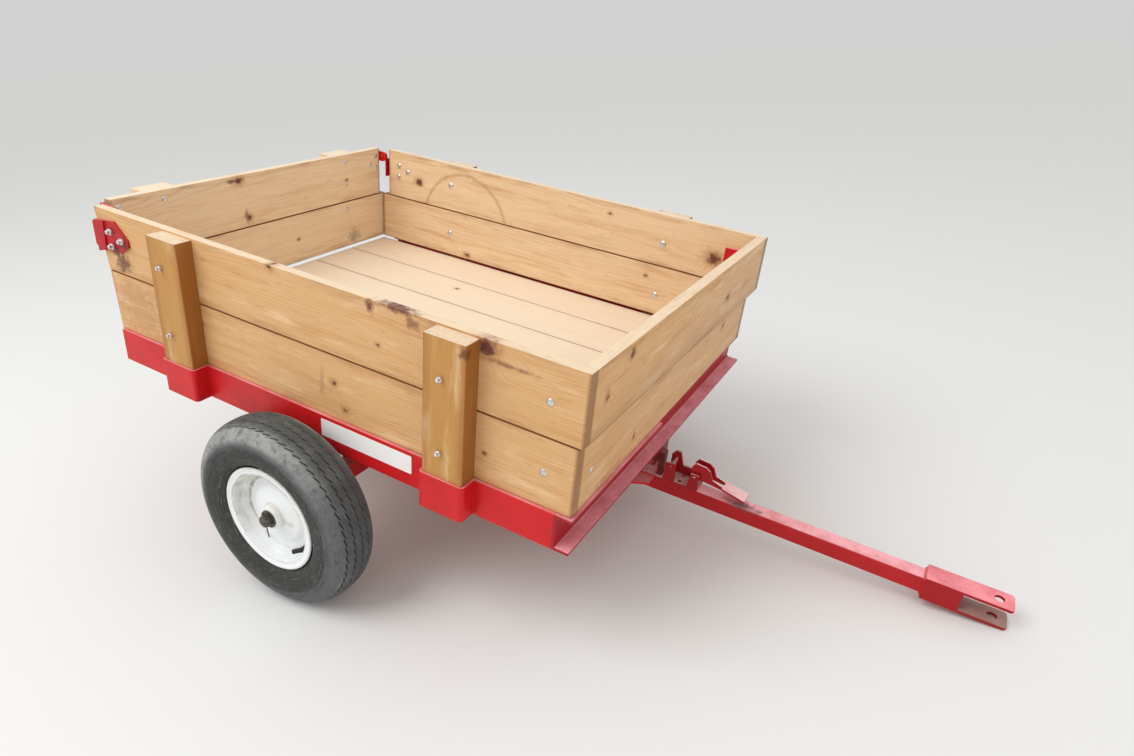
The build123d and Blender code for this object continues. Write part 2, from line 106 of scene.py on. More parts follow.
def turned(rows, around=24, closed=False):
    """A turned shape about +Z. Each row is (height, radius, flats): the radius holds at every
    angle t, or with flats 1 it is a hexagon's, radius / cos of the angle from the nearest flat."""
    rows = np.array([(*row, 0)[:3] for row in rows], float)
    t = np.arange(around) * 2 * pi / around
    from_flat = (t + pi / 6) % (pi / 3) - pi / 6
    radius = rows[:, 1:2] * (1 + rows[:, 2:3] * (1 / np.cos(from_flat) - 1))
    height = np.broadcast_to(rows[:, 0:1], radius.shape)
    points = np.stack((radius * np.cos(t), radius * np.sin(t), height), -1)
    return grid(points, close_rows=closed)


def aimed(shape, foot, way):
    """A shape drawn along +Z, turned to point along way with its foot at the given place."""
    points, faces = shape
    way = np.array(way, float) / np.linalg.norm(way)
    side = np.cross(way, SKEW)
    side /= np.linalg.norm(side)
    third = np.cross(way, side)
    return points @ np.stack((side, third, way)) + np.array(foot, float), faces


def bar(path, radius, ripple=0.0):
    """A round bar carried along a path: at each point a ring of the given radius across the local
    direction, closed to a point at both ends. A ripple swells it regularly, as on a weld."""
    path = np.array(path, float)
    step = np.gradient(path, axis=0)
    step /= np.linalg.norm(step, axis=1)[:, None]
    side = np.cross(step, SKEW)
    side /= np.linalg.norm(side, axis=1)[:, None]
    third = np.cross(step, side)
    run = np.concatenate(([0], np.cumsum(np.linalg.norm(np.diff(path, axis=0), axis=1))))
    size = radius * (1 + ripple * np.abs(np.sin(pi * run / RIPPLE_APART)))
    t = np.arange(BAR_SIDES) * 2 * pi / BAR_SIDES
    ring = side[:, None] * np.cos(t)[None, :, None] + third[:, None] * np.sin(t)[None, :, None]
    points = path[:, None] + ring * size[:, None, None]
    ends = [np.repeat(path[k][None, None], BAR_SIDES, 1) for k in (0, -1)]
    return grid(np.concatenate((ends[0], points, ends[1])))


def weld(start, end, radius):
    """A straight weld bead: a rippled bar from start to end, with a ring each millimetre."""
    start = np.array(start, float)
    end = np.array(end, float)
    count = max(int(np.linalg.norm(end - start)), 4)
    t = np.linspace(0, 1, count)[:, None]
    return bar(start + (end - start) * t, radius, WELD_RIPPLE)


def softened(points, radius, steps):
    """A closed outline whose corners are eased: between points a radius away from each corner,
    at most half a side, run quadratic curves steered by the corner itself."""
    here = np.array(points, float)
    back = np.roll(here, 1, 0) - here
    on = np.roll(here, -1, 0) - here
    back_length = np.linalg.norm(back, axis=1)[:, None]
    on_length = np.linalg.norm(on, axis=1)[:, None]
    start = here + back / back_length * np.minimum(radius, back_length / 2.01)
    end = here + on / on_length * np.minimum(radius, on_length / 2.01)
    t = np.linspace(0, 1, steps)[None, :, None]
    curve = (1 - t) ** 2 * start[:, None] + 2 * t * (1 - t) * here[:, None] + t ** 2 * end[:, None]
    return curve.reshape(-1, 2)


def joined(shapes):
    """Several shapes as one."""
    starts = np.cumsum([0] + [len(shape[0]) for shape in shapes])
    points = np.concatenate([shape[0] for shape in shapes])
    faces = np.concatenate([shape[1] + start for start, shape in zip(starts, shapes)])
    return points, faces


def outward(shape):
    """The shape with its faces turned to point out, which makes its enclosed volume positive."""
    points, faces = shape
    a, b, c, d = (points[faces[:, k]] - points.mean(0) for k in range(4))
    volume = np.sum(a * np.cross(b, c)) + np.sum(a * np.cross(c, d))
    return (points, faces) if volume > 0 else (points, faces[:, ::-1])


def close_poles(mesh):
    """Points within a thousandth of a millimetre, as at a turned shape's pole, become one."""
    work = bmesh.new()
    work.from_mesh(mesh)
    bmesh.ops.remove_doubles(work, verts=work.verts, dist=1e-6)
    work.to_mesh(mesh)
    work.free()


def piece(name, shapes, material, body, sharp=38, values=None):
    """A finished piece: its shapes joined, parked, shaded smooth below the sharp angle in
    degrees. Values, if any, become the points' depth attribute."""
    points, faces = joined([outward(shape) for shape in shapes])
    mesh = bpy.data.meshes.new(name)
    mesh.from_pydata(parked(points).tolist(), [], faces.tolist())
    if values is not None:
        mesh.attributes.new("depth", "FLOAT", "POINT").data.foreach_set("value", values)
    mesh.materials.append(material)
    made = bpy.data.objects.new(name, mesh)
    bpy.context.scene.collection.objects.link(made)
    close_poles(mesh)
    mesh.shade_smooth()
    mesh.set_sharp_from_angle(angle=radians(sharp))
    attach(made, body)
    return made


# Materials. Places in them are level millimetres, so each pattern's size is the real one. Where a
# node names several inputs alike they go by number: a colour Mix has its share at 0, its colours
# at 6 and 7 and gives out 2, and a Map Range takes the span 1 to 2 to the span 3 to 4.

def linear(code):
    """An sRGB hex colour as linear red, green and blue with full alpha."""
    part = np.array([int(code[i:i + 2], 16) for i in (0, 2, 4)]) / 255
    curve = np.where(part <= 0.04045, part / 12.92, ((part + 0.055) / 1.055) ** 2.4)
    return (*curve.tolist(), 1.0)


def add(tree, kind, feeds=None, out=0, **settings):
    """Add one node: settings are its properties, and feeds are its inputs by name or number, each
    a value or an output to link. Returns its output."""
    made = tree.nodes.new("ShaderNode" + kind)
    for key, value in settings.items():
        setattr(made, key, value)
    for key, value in (feeds or {}).items():
        socket = made.inputs[key]
        if isinstance(value, bpy.types.NodeSocket):
            tree.links.new(value, socket)
        else:
            socket.default_value = value
    return made.outputs[out]


def patches(tree, place, size, low, high, first, last, detail=4.0):
    """Soft patches about size millimetres across, or three sizes along X, Y and Z: noise eased
    from the first value to the last between its low and high levels."""
    size = (size,) * 3 if np.isscalar(size) else size
    near = add(tree, "VectorMath", {0: place, 1: [1 / s for s in size]}, operation="MULTIPLY")
    noise = add(tree, "TexNoise", {"Vector": near, "Scale": 1.0, "Detail": detail,
                                   "Roughness": 0.6})
    return add(tree, "MapRange", {0: noise, 1: low, 2: high, 3: first, 4: last},
               interpolation_type="SMOOTHSTEP")


def soiled(tree, colour, code, place, size, low, high, most, within=None, detail=4.0):
    """A second colour laid over the first in soft patches, at most so thick, and only within a
    given mask if there is one."""
    share = patches(tree, place, size, low, high, 0.0, most, detail)
    if within is not None:
        share = add(tree, "Math", {0: share, 1: within}, operation="MULTIPLY")
    return add(tree, "Mix", {0: share, 6: colour, 7: linear(code)}, 2, data_type="RGBA")


def marked(tree, colour, place, marks, centre=(0.0, 0.0, 0.0)):
    """Single marks over a colour. Each is (level place, radii, hex colour, strength): an ellipsoid
    whose edge is soft, and ragged by noise 14 mm across. A fifth value makes it a hollow one, and
    is its wall's share of the radii."""
    if not marks:
        return colour
    ragged = patches(tree, place, 14.0, 0.2, 0.8, 0.0, 0.8)
    for spot, radii, code, strength, *wall in marks:
        foot = np.array(spot, float) - np.array(centre, float)
        away = add(tree, "VectorMath", {0: place, 1: foot.tolist()}, operation="SUBTRACT")
        away = add(tree, "VectorMath", {0: away, 1: [1 / r for r in radii]}, operation="MULTIPLY")
        away = add(tree, "VectorMath", {0: away}, 1, operation="LENGTH")
        if wall:
            away = add(tree, "Math", {0: away, 1: 1.0}, operation="SUBTRACT")
            away = add(tree, "Math", {0: away}, operation="ABSOLUTE")
            away = add(tree, "Math", {0: away, 1: wall[0]}, operation="DIVIDE")
        away = add(tree, "Math", {0: away, 1: ragged}, operation="ADD")
        share = add(tree, "MapRange", {0: away, 1: 0.6, 2: 1.5, 3: strength, 4: 0.0},
                    interpolation_type="SMOOTHSTEP")
        colour = add(tree, "Mix", {0: share, 6: colour, 7: linear(code)}, 2, data_type="RGBA")
    return colour


def start_material(name, centre=(0.0, 0.0, 0.0)):
    """A material, its node tree and its place vector, level millimetres from a level centre."""
    material = bpy.data.materials.new(name)
    material.use_nodes = True
    tree = material.node_tree
    coords = add(tree, "TexCoord", out=3)
    place = add(tree, "Mapping", {"Vector": coords, "Location": parked(centre).tolist(),
                                  "Rotation": (0, pitch, 0), "Scale": (0.001,) * 3},
                vector_type="TEXTURE")
    return material, tree, place


def finish_material(tree, colour, roughness, relief=None, depth=0.0, specular=0.5, metallic=0.0):
    """Feed the surface shader. The relief runs from 0 to 1 and is depth millimetres high."""
    shader = tree.nodes["Principled BSDF"]
    shader.inputs["Specular IOR Level"].default_value = specular
    shader.inputs["Metallic"].default_value = metallic
    tree.links.new(colour, shader.inputs["Base Color"])
    tree.links.new(roughness, shader.inputs["Roughness"])
    if relief is not None:
        bump = add(tree, "Bump", {"Strength": 1.0, "Distance": depth / 1000, "Height": relief})
        tree.links.new(bump, shader.inputs["Normal"])


def from_axle(tree, place):
    """Distance from a wheel's own axis, and height towards its upper rear, place being level and
    from the wheel's middle."""
    flat = add(tree, "VectorMath", {0: place, 1: (1, 0, 1)}, operation="MULTIPLY")
    height = add(tree, "VectorMath", {0: place, 1: (-0.5, 0.0, 0.87)}, 1, operation="DOT_PRODUCT")
    return add(tree, "VectorMath", {0: flat}, 1, operation="LENGTH"), height


# Softwood: one ring from its start to its end, as (place in the ring, share of late wood)
RING_SHADES = ((0.0, 0.1), (0.25, 0.0), (0.6, 0.3), (0.84, 1.0), (0.92, 0.8), (1.0, 0.1))
FIBRE_APART = 1.7
# Stains in the worn finish, from wide to fine: tone, millimetres along, across and through the
# board, the noise levels where it starts and is full, its share, whether that is scaled by how
# stained the board is, and the noise's detail. They are yellowed finish, rubbed places, streaks
# and specks.
STAINS = (
    ("c0803f", (240.0, 24.0, 24.0), 0.47, 0.78, 0.52, True, 3.0),
    ("f8ddb2", (170.0, 34.0, 34.0), 0.52, 0.8, 0.5, False, 3.0),
    ("a2662f", (44.0, 6.0, 6.0), 0.58, 0.78, 0.45, True, 3.0),
    ("7a5535", (7.0, 3.0, 3.0), 0.69, 0.76, 0.4, False, 4.0),
)
# Grime is full up to the first of these distances from a board's edge or end, and gone at the
# second
JOINT_GRIME = (0.7, 2.0)
SAWN_GRIME = (1.0, 7.0)
SHADED_EDGE = 22.0


def knot_distances(tree, place, own, centre, along, across, knots):
    """For each knot its radius, the distance from its middle, where a millimetre along the board
    counts three quarters, and that distance made ragged by noise 13 mm across."""
    ragged = patches(tree, own, 13.0, 0.2, 0.8, 0.0, 1.0, 3.0)
    found = []
    for a, b, radius in knots:
        spot = [0.0, 0.0, 0.0]
        spot[along] = a - float(centre[along])
        spot[across] = b - float(centre[across])
        weight = [0.0, 0.0, 0.0]
        weight[along] = 0.75
        weight[across] = 1.0
        away = add(tree, "VectorMath", {0: place, 1: spot}, operation="SUBTRACT")
        away = add(tree, "VectorMath", {0: away, 1: weight}, operation="MULTIPLY")
        away = add(tree, "VectorMath", {0: away}, 1, operation="LENGTH")
        edge = add(tree, "Math", {0: ragged, 1: radius * 0.9, 2: away}, operation="MULTIPLY_ADD")
        found.append((radius, away, edge))
    return found


def late_wood(tree, across, through, own, pith, ring, knots):
    """Share of late wood. The ring count is the distance from the pith over the ring's width,
    bent by slow noise and pushed out round each knot. A ring goes from pale early wood to a
    darker late line, which is faint in some stretches."""
    slow = add(tree, "VectorMath", {0: own, 1: (1 / 700, 1 / 200, 1 / 200)}, operation="MULTIPLY")
    slow = add(tree, "TexNoise", {"Vector": slow, "Scale": 1.0, "Detail": 1.0}, 1)
    slow = add(tree, "VectorMath", {0: slow, 1: (0.5, 0.5, 0.5)}, operation="SUBTRACT")
    slow = add(tree, "VectorMath", {0: slow, 1: (0, 46.0, 60.0)}, operation="MULTIPLY")
    log = add(tree, "CombineXYZ", {1: across, 2: through})
    log = add(tree, "VectorMath", {0: log, 1: (0, *pith)}, operation="SUBTRACT")
    log = add(tree, "VectorMath", {0: log, 1: slow}, operation="ADD")
    radius = add(tree, "VectorMath", {0: log}, 1, operation="LENGTH")
    waver = patches(tree, own, (160.0, 30.0, 30.0), 0.2, 0.8, 0.0, 4.0, 1.0)
    radius = add(tree, "Math", {0: radius, 1: waver}, operation="ADD")
    for knot, away, edge in knots:
        push = add(tree, "MapRange", {0: away, 1: 0.0, 2: knot * 5.0, 3: knot * 1.9, 4: 0.0},
                   interpolation_type="SMOOTHERSTEP")
        radius = add(tree, "Math", {0: radius, 1: push}, operation="ADD")
    rings = add(tree, "Math", {0: radius, 1: ring}, operation="DIVIDE")
    phase = add(tree, "Math", {0: rings}, operation="FRACT")
    line = add(tree, "ValToRGB", {0: phase})
    stops = line.node.color_ramp.elements
    for at, shade in RING_SHADES[1:-1]:
        stops.new(at)
    for stop, (at, shade) in zip(stops, RING_SHADES):
        stop.color = (shade, shade, shade, 1)
    strength = patches(tree, own, (260.0, 34.0, 34.0), 0.3, 0.72, 0.08, 0.5, 2.0)
    return add(tree, "Math", {0: line, 1: strength}, operation="MULTIPLY")


def knots_over(tree, colour, knots):
    """Knots laid over the wood: a brown halo, and a dark heart that is darkest at its rim."""
    for knot, away, edge in knots:
        halo = add(tree, "MapRange", {0: edge, 1: knot * 0.9, 2: knot * 3.2, 3: 0.5, 4: 0.0},
                   interpolation_type="SMOOTHSTEP")
        colour = add(tree, "Mix", {0: halo, 6: colour, 7: linear("a9682f")}, 2, data_type="RGBA")
        rim = add(tree, "MapRange", {0: edge, 1: knot * 0.3, 2: knot * 1.1})
        heart = add(tree, "Mix", {0: rim, 6: linear("7a4630"), 7: linear("4f2c1f")}, 2,
                    data_type="RGBA")
        share = add(tree, "MapRange", {0: edge, 1: knot * 0.8, 2: knot * 1.5, 3: 0.9, 4: 0.0},
                    interpolation_type="SMOOTHSTEP")
        colour = add(tree, "Mix", {0: share, 6: colour, 7: heart}, 2, data_type="RGBA")
    return colour


def softwood(node, seed, tones, ring, pith, stained, knots, marks):
    """Planed pine with a worn clear finish: satin, warm, with long soft grain. The board is cut
    from a log whose pith lies behind its face, (share of the width, millimetres behind). Edges
    that meet another board are dark with grime, sawn ends are browner, and what faces up is
    painted paler, as lit from above, with fainter rings. Within SHADED_EDGE of the long edges
    lies painted shade. A stake's narrow faces are painted darker as shade and streaked with
    brown. The floor's underside was never finished and is browner. Fibres are about three times
    as far apart as the real ones, which are too fine to show. Knots are (along, across, radius)
    in the board's own two long ways, level millimetres."""
    low, high = reach(node)
    centre = (low + high) / 2
    size = high - low
    along, across, thick = (int(k) for k in np.argsort(-size))
    half_width = float(size[across] / 2)
    half_length = float(size[along] / 2)
    early, late = tones
    material, tree, place = start_material("planed_pine_" + node, centre)
    parts = add(tree, "SeparateXYZ", {0: place}).node.outputs
    facing = add(tree, "SeparateXYZ", {0: add(tree, "TexCoord", out=1)}).node.outputs
    # What faces up is painted paler, as lit from above
    lit_from_above = add(tree, "MapRange", {0: facing[2], 1: 0.6, 2: 0.95},
                   interpolation_type="SMOOTHSTEP")
    own = add(tree, "CombineXYZ", {0: parts[along], 1: parts[across], 2: parts[thick]})
    own = add(tree, "VectorMath", {0: own, 1: (seed * 1731.0, seed * 917.0, seed * 433.0)},
              operation="ADD")

    # Grain
    found = knot_distances(tree, place, own, centre, along, across, knots)
    pith = (pith[0] * float(size[across]) * (-1) ** seed, pith[1])
    late_share = late_wood(tree, parts[across], parts[thick], own, pith, ring, found)
    # Rings fade where the top is painted as lit
    ring_fade_where_lit = add(tree, "MapRange", {0: lit_from_above, 3: 1.0, 4: 0.7})
    late_share = add(tree, "Math", {0: late_share, 1: ring_fade_where_lit}, operation="MULTIPLY")
    colour = add(tree, "Mix", {0: late_share, 6: linear(early), 7: linear(late)}, 2,
                 data_type="RGBA")
    fibre = patches(tree, own, (90.0, FIBRE_APART, FIBRE_APART), 0.25, 0.75, 0.0, 1.0, 2.0)
    dark_fibre = add(tree, "Math", {0: fibre, 1: 0.22}, operation="MULTIPLY")
    colour = add(tree, "Mix", {0: dark_fibre, 6: colour, 7: linear("b9823f")}, 2,
                 data_type="RGBA")

    # The finish that has yellowed and worn
    for code, spread, start, full, share, scaled, detail in STAINS:
        share = share * stained if scaled else share
        colour = soiled(tree, colour, code, own, spread, start, full, share, detail=detail)
    if node.startswith("stake"):
        # A stake's narrow faces are painted darker as shade, then streaked with brown
        shaded_narrow_face = add(tree, "Math", {0: facing[0]}, operation="ABSOLUTE")
        shaded_narrow_face = add(tree, "MapRange", {0: shaded_narrow_face, 1: 0.6, 2: 0.9, 4: 0.6})
        colour = add(tree, "Mix", {0: shaded_narrow_face, 6: colour, 7: linear("a2611a")}, 2,
                     data_type="RGBA")
        colour = soiled(tree, colour, "9a6129", own, (170.0, 5.0, 5.0), 0.25, 0.75, 1.6, shaded_narrow_face)

    # Grime where boards meet and at sawn ends, and painted shade along the long edges. An upper plank's top edge
    # meets nothing
    full, gone = JOINT_GRIME
    meeting = add(tree, "MapRange", {0: parts[across], 1: full - half_width, 2: gone - half_width,
                                     3: 1.0, 4: 0.0})
    if "upper" not in node:
        other = add(tree, "MapRange", {0: parts[across], 1: half_width - gone,
                                       2: half_width - full})
        meeting = add(tree, "Math", {0: meeting, 1: other}, operation="MAXIMUM")
    # Painted shade in brown patches within SHADED_EDGE of the long edges
    edge = add(tree, "Math", {0: parts[across]}, operation="ABSOLUTE")
    edge = add(tree, "MapRange", {0: edge, 1: half_width - SHADED_EDGE, 2: half_width},
               interpolation_type="SMOOTHSTEP")
    if node.startswith("stake"):
        colour = soiled(tree, colour, "9a5a1c", own, (260.0, 6.0, 6.0), 0.1, 0.6, 0.6, edge)
    else:
        colour = soiled(tree, colour, "8a5c30", own, (90.0, 16.0, 16.0), 0.4, 0.75, 0.45, edge)
    if "plank" in node or "board" in node:
        colour = soiled(tree, colour, "8a4f1e", own, 30.0, 0.0, 0.38, 0.9, meeting)
        full, gone = SAWN_GRIME
        end = add(tree, "Math", {0: parts[along]}, operation="ABSOLUTE")
        end = add(tree, "MapRange", {0: end, 1: half_length - gone, 2: half_length - full})
        colour = soiled(tree, colour, "7f4f26", own, 26.0, 0.1, 0.5, 0.7, end)

    # Tops painted paler as lit from above, the raw underside, knots and single marks
    lit_open_top = add(tree, "Math", {0: lit_from_above, 1: meeting}, operation="SUBTRACT", use_clamp=True)
    colour = soiled(tree, colour, "f6e2c6", own, (40.0, 9.0, 9.0), 0.0, 0.55, 0.75, lit_open_top)
    if node.startswith("floor"):
        under = add(tree, "MapRange", {0: facing[2], 1: -0.5, 2: -0.9})
        colour = soiled(tree, colour, "b98b57", own, (150.0, 20.0, 20.0), 0.0, 0.5, 0.85, under)
    colour = knots_over(tree, colour, found)
    colour = marked(tree, colour, place, marks, centre)
    rough = add(tree, "MapRange", {0: fibre, 3: 0.42, 4: 0.58})
    finish_material(tree, colour, rough, fibre, 0.2, specular=0.4)
    return material


def red_enamel(name, base="d31c20", dust=0.75, dust_colour="f0a8ac", grime=0.3, marks=()):
    """Brush painted red enamel on mild steel: strong satin red on what hangs, pale pink dust on
    what faces up, thin rub lines and brown specks of grime. The brush's unevenness is drawn 6 mm
    apart, because the real one is too fine to show."""
    material, tree, place = start_material("red_enamel_" + name)
    colour = soiled(tree, linear(base), "a81217", place, 90.0, 0.35, 0.75, 0.5)
    colour = soiled(tree, colour, "de6a66", place, (60.0, 60.0, 2.4), 0.68, 0.76, 0.2)
    colour = soiled(tree, colour, "8e1216", place, 5.0, 0.5, 0.75, 0.25)
    up = add(tree, "SeparateXYZ", {0: add(tree, "TexCoord", out=1)}, 2)
    lying = add(tree, "MapRange", {0: up, 1: 0.5, 2: 0.97, 3: 0.0, 4: dust},
                interpolation_type="SMOOTHSTEP")
    thick = patches(tree, place, 45.0, 0.25, 0.75, 0.55, 1.0)
    lying = add(tree, "Math", {0: lying, 1: thick}, operation="MULTIPLY")
    colour = add(tree, "Mix", {0: lying, 6: colour, 7: linear(dust_colour)}, 2, data_type="RGBA")
    colour = soiled(tree, colour, "6b3733", place, 8.0, 0.6, 0.72, grime)
    colour = soiled(tree, colour, "8c4a40", place, (70.0, 70.0, 18.0), 0.62, 0.8, grime)
    colour = marked(tree, colour, place, marks)
    fine = patches(tree, place, 6.0, 0.3, 0.7, 0.0, 1.0)
    rough = add(tree, "Math", {0: lying, 1: 0.3, 2: 0.38}, operation="MULTIPLY_ADD")
    finish_material(tree, colour, rough, fine, 0.06, specular=0.28)
    return material


def dull_steel(name, base, stain, most, roughness):
    """Bare or zinc plated steel: metal that shines unevenly where stain has dulled it. The blooms
    are drawn 4 to 6 mm across, because the real ones are too fine to show."""
    material, tree, place = start_material(name)
    colour = soiled(tree, linear(base), stain, place, 6.0, 0.45, 0.75, most)
    fine = patches(tree, place, 4.0, 0.3, 0.7, *roughness)
    finish_material(tree, colour, fine, metallic=1.0)
    return material


def wheel_place(side):
    """Level place of a wheel's middle."""
    return AXLE_X, wheel_y * side, AXLE_Z


# Dirt on the wheels in rings about the axle, laid thicker on the upper rear as painted shade: middle radius, half
# width, tone, share
DIRT_AND_SHADE_RINGS = ((115.0, 5.0, "cfc9ba", 0.7), (101.5, 3.5, "8d8468", 0.8), (93.0, 12.0, "b5ab92", 0.5),
              (84.0, 6.0, "877d5f", 0.9), (27.0, 4.0, "c4b594", 0.6))


def cream_enamel(name, side):
    """Baked cream white enamel on a pressed steel wheel: glossy and white, with tan dirt left in
    rings where the pressing steps, and beside the hub. The rings are laid thickest on the upper
    rear as painted shade, where the rim shades its recess."""
    middle = wheel_place(side)
    material, tree, place = start_material(f"cream_enamel_{name}", middle)
    radius, height = from_axle(tree, place)
    uneven = patches(tree, place, 40.0, 0.25, 0.75, -2.5, 2.5)
    radius = add(tree, "Math", {0: radius, 1: uneven}, operation="ADD")
    colour = soiled(tree, linear("eef1f2"), "e2e0d8", place, 60.0, 0.45, 0.8, 0.7)
    # The rings thicken towards the upper rear, as painted shade where the rim shades its recess
    upper = add(tree, "MapRange", {0: height, 1: -60.0, 2: 60.0, 3: 0.25, 4: 1.0},
                interpolation_type="SMOOTHSTEP")
    for ring_radius, half, code, most in DIRT_AND_SHADE_RINGS:
        band = add(tree, "Math", {0: radius, 1: ring_radius}, operation="SUBTRACT")
        band = add(tree, "Math", {0: band}, operation="ABSOLUTE")
        band = add(tree, "MapRange", {0: band, 1: 0.0, 2: half, 3: most, 4: 0.0},
                   interpolation_type="SMOOTHSTEP")
        band = add(tree, "Math", {0: band, 1: upper}, operation="MULTIPLY")
        colour = soiled(tree, colour, code, place, 22.0, 0.2, 0.6, 1.0, band)
    beside_hub = (middle[0] + 38.0, middle[1], middle[2] - 6.0)
    colour = marked(tree, colour, place, [(beside_hub, (20, 60, 13), "b8a582", 0.5)], middle)
    colour = soiled(tree, colour, "8a6a4a", place, 5.0, 0.7, 0.76, 0.5)
    rough = patches(tree, place, 14.0, 0.3, 0.7, 0.28, 0.42)
    finish_material(tree, colour, rough)
    return material


def tyre_rubber(name, side):
    """Weathered black rubber, moulded, grey and dull: near black from the bead to the wall's
    ridge, dusty grey above it with a painted highlight on the upper rear shoulder, fine rings
    round it, thin pale scuffs on the shoulder and the tread, and grooves painted dark as shade.
    The depth attribute is 1 at a groove's foot. Scuffs are 1.6 to 2 mm wide and the rubber's
    grain is 3 mm across, because the real ones are too fine to show."""
    material, tree, place = start_material(f"tyre_rubber_{name}", wheel_place(side))
    radius, height = from_axle(tree, place)
    parts = add(tree, "SeparateXYZ", {0: place}).node.outputs
    ring_place = add(tree, "CombineXYZ", {0: radius, 1: parts[1]})
    far = add(tree, "VectorMath", {0: place, 1: (0.06, 0.0, 0.06)}, operation="MULTIPLY")
    ring_place = add(tree, "VectorMath", {0: ring_place, 1: far}, operation="ADD")

    # Grey from the wall's ridge to the tread, with a painted highlight on the upper rear shoulder
    colour = soiled(tree, linear("4b4f50"), "666867", place, 26.0, 0.35, 0.72, 0.8)
    colour = soiled(tree, colour, "3c3e3e", ring_place, 3.0, 0.45, 0.75, 0.6, detail=2.0)
    shoulder = add(tree, "MapRange", {0: radius, 1: 168.0, 2: 184.0},
                   interpolation_type="SMOOTHSTEP")
    crown = add(tree, "MapRange", {0: radius, 1: 199.0, 2: 206.0, 3: 1.0, 4: 0.0})
    shoulder = add(tree, "Math", {0: shoulder, 1: crown}, operation="MULTIPLY")
    upper = add(tree, "MapRange", {0: height, 1: 0.0, 2: 150.0, 3: 0.15, 4: 1.0})
    lit_shoulder = add(tree, "Math", {0: shoulder, 1: upper}, operation="MULTIPLY")
    colour = soiled(tree, colour, "a3a3a0", place, 42.0, 0.05, 0.6, 0.9, lit_shoulder)

    # Near black wall
    wall = add(tree, "MapRange", {0: radius, 1: 160.0, 2: 169.0, 3: 1.0, 4: 0.0},
               interpolation_type="SMOOTHSTEP")
    dark = soiled(tree, linear("2b2d2a"), "41433e", ring_place, 4.0, 0.4, 0.7, 0.8, detail=3.0)
    dark = soiled(tree, dark, "5f5f58", place, 6.0, 0.5, 0.72, 0.6)
    dark = soiled(tree, dark, "262722", place, 9.0, 0.5, 0.7, 0.6)
    colour = add(tree, "Mix", {0: wall, 6: colour, 7: dark}, 2, data_type="RGBA")

    # Grooves painted dark as shade, pale scuffs and dirt
    groove = add(tree, "Attribute", out=2, attribute_name="depth")
    groove = add(tree, "Math", {0: groove, 1: 0.85}, operation="MULTIPLY")
    colour = add(tree, "Mix", {0: groove, 6: colour, 7: linear("232321")}, 2, data_type="RGBA")
    colour = soiled(tree, colour, "c4c1ba", ring_place, 1.6, 0.7, 0.77, 0.55, shoulder, 1.0)
    colour = soiled(tree, colour, "a5a4a0", ring_place, 2.0, 0.69, 0.75, 0.5, detail=1.0)
    colour = soiled(tree, colour, "353735", place, 13.0, 0.48, 0.7, 0.55)
    colour = soiled(tree, colour, "262727", place, 4.0, 0.58, 0.72, 0.6)
    fine = patches(tree, place, 3.0, 0.3, 0.7, 0.0, 1.0)
    rough = add(tree, "MapRange", {0: fine, 3: 0.6, 4: 0.8})
    finish_material(tree, colour, rough, fine, 0.25)
    return material


def matt_material(name, base, stain, size, levels, most, rough_size, roughness):
    """Moulded rubber or printed vinyl: one plain tone with a little soil of another, in patches
    of the given size, and a roughness that wanders between two values."""
    material, tree, place = start_material(name)
    colour = soiled(tree, linear(base), stain, place, size, *levels, most)
    finish_material(tree, colour, patches(tree, place, rough_size, 0.3, 0.7, *roughness))
    return material


def dress(node, finish):
    """Give a CAD node one material in place of its own."""
    slots = frame["nodes"][node].data.materials
    slots.clear()
    slots.append(finish)


# The wood. Tones are early wood and late wood. The far side's, the tailgate's and the floor's are lighter copies
# of HONEY, painted as lit
HONEY = ("dfb27d", "bd8449")
PALE_PAINTED_LIT = ("eed3ac", "d3a271")
GATE_PAINTED_LIT = ("f2dbb8", "d9af80")
FLOOR_PAINTED_LIT = ("fff5e4", "e2c192")
STAKE = ("c4914c", "975d2a")
PLANK_RING = 4.6
STAKE_RING = 3.4
board_knots = {
    "side_plank_right_upper": [(1003, 264, 14), (772, 197, 4), (509, 277, 6)],
    "side_plank_right_lower": [(685, 28, 6), (660, 79, 6), (290, 95, 4), (1010, 60, 4)],
    "side_plank_left_upper": [(1086, 197, 15), (116, 205, 9), (775, 250, 4)],
    "side_plank_left_lower": [(306, 12, 7), (905, 104, 4)],
    "front_plank_upper": [(-322, 258, 7), (-406, 209, 5), (210, 200, 9)],
    "front_plank_lower": [(-228, 38, 4), (290, 96, 8)],
    "tailgate_plank_upper": [(-88, 266, 9), (-63, 166, 6), (300, 205, 4)],
    "tailgate_plank_lower": [(99, 68, 4), (-230, 90, 6)],
    "floor_board_1": [(700, -400, 8)],
    "floor_board_3": [(560, -90, 7)],
    "floor_board_5": [(420, 250, 5), (1040, 190, 6)],
    "tailgate_batten_left": [(150, 300, 7)],
}
PURPLE = "642a30"
DARK = "682818"
